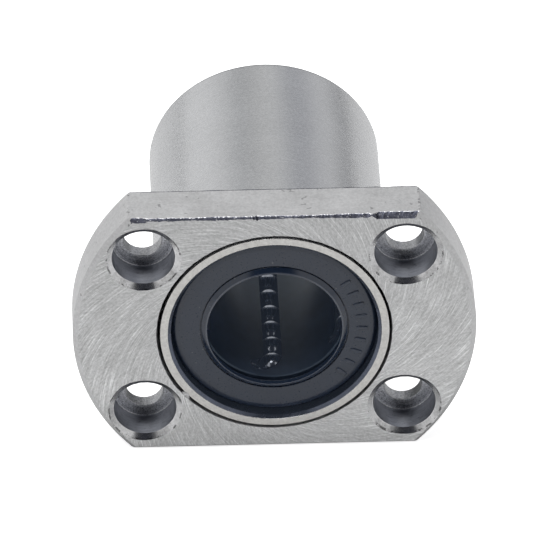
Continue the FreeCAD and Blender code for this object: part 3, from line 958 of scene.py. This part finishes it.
class BUSHING_OT_cage(bpy.types.Operator):
    """Finish the moulded ball cage and the two retaining rings behind the seals"""

    bl_idname = "bushing.cage"
    bl_label = "Cage and rings"

    def execute(self, context):
        s = context.scene.bushing_ball
        low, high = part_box("ball_cage")
        wall, end_wall = 0.3 * MM, 0.8 * MM
        refinish("ball_cage", resin_finish(s.cage, s.cage_bore, s.cage_radius - wall,
                                           low.y + end_wall, high.y - end_wall))
        steel = spring_finish(s.ring)
        for node in ("front_retaining_ring", "rear_retaining_ring"):
            refinish(node, steel)
        return {"FINISHED"}


# --- balls ---
def ball_surface(centre, radius):
    """A sphere: longitude runs along the columns and latitude down the rows, with a point at each pole."""
    longitude = np.linspace(0, 2 * np.pi, 40, endpoint=False)
    latitude = np.linspace(-np.pi / 2, np.pi / 2, 21)[:, None]
    ring = radius * np.cos(latitude)
    x, y = ring * np.cos(longitude), ring * np.sin(longitude)
    z = np.broadcast_to(radius * np.sin(latitude), x.shape)
    return np.stack([x, y, z], -1) + centre


def ball_centres(s, node):
    """Centres of a node's balls: its one ball, its row of evenly spaced balls, or the two in its turn."""
    low, high = (np.array(corner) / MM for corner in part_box(node))
    radius = s.radius / MM
    if "loaded_ball" in node:
        return [(low + high) / 2]
    turn = 2 * math.pi / CIRCUITS * (int(node.split("_")[1]) - 1)
    outward = np.array([-math.sin(turn), 0.0, -math.cos(turn)])
    sideways = np.array([-math.cos(turn), 0.0, math.sin(turn)])
    gap, plane, pitch = s.track_gap / MM, s.plane / MM, s.pitch / MM
    if "return" in node:
        line = outward * plane + sideways * gap
        count = round((high[1] - low[1] - 2 * radius) / pitch) + 1
        return [line + np.array([0.0, low[1] + radius + n * pitch, 0.0]) for n in range(count)]
    front = "front" in node
    row = ROW_PITCHES * pitch
    middle = (sleeve_low.y + sleeve_high.y) / 2 / MM
    pivot = outward * plane + sideways * gap / 2
    pivot[1] = middle + (-row if front else row)
    first = row_travel(s, node, middle, row) / pitch * math.pi / 2 + (math.pi if front else 0.0)
    swings = [first + math.pi / 2 * (n + 0.5) for n in range(2)]
    return [pivot + gap / 2 * (np.array([0.0, math.sin(swing), 0.0]) - sideways * math.cos(swing))
            for swing in swings]


def row_travel(s, node, middle, row):
    """How far a circuit's balls stand along their row from the middle of their travel."""
    circuit = "_".join(node.split("_")[:2])
    low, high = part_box(circuit + "_loaded_ball_1")
    return (low.y + high.y) / 2 / MM - (middle - row + 0.5 * s.pitch / MM)


class BUSHING_OT_balls(bpy.types.Operator):
    """Build every ball: the loaded ones one by one, the others by stretch of their loop"""

    bl_idname = "bushing.balls"
    bl_label = "Balls"

    def execute(self, context):
        s = context.scene.bushing_ball
        steel = ball_finish(s.steel)
        bodies = frame["record"]["behaviour"]["bodies"]
        homes = {node: body for body, nodes in bodies.items() for node in nodes}
        for node in sorted(n for n in homes if n.startswith("circuit_")):
            shell = Shell()
            for centre in ball_centres(s, node):
                shell.grid(ball_surface(centre, s.radius / MM))
            shell.build(node + "_finished", [steel], homes[node], [node], 60)
        return {"FINISHED"}


# --- stage ---
class Room(Finish):
    """The room's own nodes, built with the same short calls as a finish."""

    def __init__(self, name):
        world = bpy.data.worlds.new(name)
        world.use_nodes = True
        bpy.context.scene.world = world
        self.tree = world.node_tree
        self.place = self.add("ShaderNodeTexCoord").outputs["Generated"]


# Colours of the room behind the bushing, by angle in degrees about its axis, from straight up to the right.
# A single number is a grey.
BANDS = [
    (-180, 0.5), (-120, 0.65), (-96, 0.92), (-66, 0.90), (-42, 0.76), (-26, 0.50, 0.51, 0.52), (-10, 0.56),
    (10, 0.80, 0.80, 0.79), (28, 0.42, 0.43, 0.46), (46, 0.50, 0.505, 0.53), (66, 0.84),
    (86, 0.34, 0.345, 0.36), (110, 0.12, 0.125, 0.14), (150, 0.5), (180, 0.5),
]


def room_light(strength):
    """The room: soft bands behind the bushing, and an even light in front round a dark column."""
    room = Room("studio_room")
    parts = room.add("ShaderNodeSeparateXYZ", {0: room.place})
    turn = room.maths("ARCTAN2", parts.outputs["X"], parts.outputs["Z"])
    bands = room.add("ShaderNodeValToRGB", {0: room.span(turn, -math.pi, math.pi, 0.0, 1.0)})
    bands.color_ramp.interpolation = "B_SPLINE"
    stops = bands.color_ramp.elements
    while len(stops) < len(BANDS):
        stops.new(0.5)
    for stop, (degrees, *tint) in zip(stops, BANDS):
        stop.position = (degrees + 180) / 360
        stop.color = (*(tint if len(tint) == 3 else tint * 3), 1.0)
    beside = room.step(room.maths("ABSOLUTE", parts.outputs["X"]), 0.30, 0.46)
    above = room.step(parts.outputs["Z"], 0.93, 0.985)
    lit = room.maths("MAXIMUM", beside, above)
    ahead = room.blend(lit, (0.02, 0.022, 0.03), (0.62, 0.62, 0.62))
    lighting = room.blend(room.step(parts.outputs["Y"], 0.1, 0.6), ahead, bands.outputs[0])
    seen = room.add("ShaderNodeLightPath").outputs["Is Camera Ray"]
    background = room.tree.nodes["Background"]
    background.inputs["Strength"].default_value = strength
    room.feed(background.inputs["Color"], room.blend(seen, lighting, (1.0, 1.0, 1.0)))


def soft_light(name, place, target, size, power):
    """A square soft light that faces a point and can't itself be seen."""
    data = bpy.data.lights.new(name, "AREA")
    data.shape = "SQUARE"
    data.size, data.energy = size, power
    light = put(name, data)
    light.location = place
    light.rotation_euler = (Vector(target) - Vector(place)).to_track_quat("-Z", "Y").to_euler()
    light.visible_camera = False


class BUSHING_OT_stage(bpy.types.Operator):
    """Build the floor, the soft light and the camera"""

    bl_idname = "bushing.stage"
    bl_label = "Stage"

    def execute(self, context):
        s = context.scene.bushing_stage
        side, drop = 3.0, 0.05 * MM
        z = cad_low.z - drop
        mesh = bpy.data.meshes.new("floor")
        corners = [(-side, -side, z), (side, -side, z), (side, side, z), (-side, side, z)]
        mesh.from_pydata(corners, [], [(0, 1, 2, 3)])
        mesh.materials.append(floor_finish(s.floor, s.glow))
        put("floor", mesh)
        room_light(s.ambient)
        soft_light("key_light", (-0.10, -0.04, 0.90), (0, 0, 0), 0.6, s.key)
        soft_light("small_lamp", (-0.30, -0.50, 0.68), (0, 0, 0), 0.04, s.lamp)
        azimuth, elevation, roll = s.azimuth, s.elevation, s.roll
        back = Vector((math.sin(azimuth) * math.cos(elevation), -math.cos(azimuth) * math.cos(elevation),
                       math.sin(elevation)))
        level = Vector((math.cos(azimuth), math.sin(azimuth), 0.0))
        upright = back.cross(level)
        right = level * math.cos(roll) + upright * math.sin(roll)
        up = upright * math.cos(roll) - level * math.sin(roll)
        data = bpy.data.cameras.new("camera")
        data.lens, data.sensor_width = s.lens, 36.0
        data.shift_x, data.shift_y = s.shift_x, s.shift_y
        data.clip_start, data.clip_end = 0.01, 20.0
        camera = put("camera", data)
        target = Vector((0.0, 5.0 * MM, 0.0))
        place = Matrix((right, up, back)).transposed().to_4x4()
        place.translation = target + back * s.distance
        camera.matrix_world = place
        context.scene.camera = camera
        context.scene.view_settings.view_transform = "Standard"
        return {"FINISHED"}


class BUSHING_PT_panel(bpy.types.Panel):
    """Lists the bushing's pieces and their settings"""

    bl_idname = "BUSHING_PT_panel"
    bl_label = "Ball bushing"
    bl_space_type = "VIEW_3D"
    bl_region_type = "UI"
    bl_category = "Bushing"

    def draw(self, context):
        for step in STEPS:
            self.layout.operator(step.bl_idname, text=step.bl_label)
        for attribute, group in GROUPS.items():
            box = self.layout.box()
            box.label(text=group.__doc__)
            for name in group.__annotations__:
                box.prop(getattr(context.scene, attribute), name)


GROUPS = {
    "bushing_flange": FlangeSettings,
    "bushing_sleeve": SleeveSettings,
    "bushing_seal": SealSettings,
    "bushing_ball": BallSettings,
    "bushing_stage": StageSettings,
}
STEPS = (BUSHING_OT_flange, BUSHING_OT_sleeve, BUSHING_OT_seals, BUSHING_OT_cage, BUSHING_OT_balls,
         BUSHING_OT_stage)


def register():
    """Registers the settings, the operators and the panel."""
    for item in (*GROUPS.values(), *STEPS, BUSHING_PT_panel):
        bpy.utils.register_class(item)
    for attribute, group in GROUPS.items():
        setattr(bpy.types.Scene, attribute, bpy.props.PointerProperty(type=group))


def unregister():
    """Takes them away again."""
    for attribute in GROUPS:
        delattr(bpy.types.Scene, attribute)
    for item in (BUSHING_PT_panel, *reversed(STEPS), *reversed(GROUPS.values())):
        bpy.utils.unregister_class(item)


def main():
    """Builds every piece and the stage."""
    register()
    for step in STEPS:
        group, name = step.bl_idname.split(".")
        getattr(getattr(bpy.ops, group), name)()


if __name__ == "__main__":
    main()
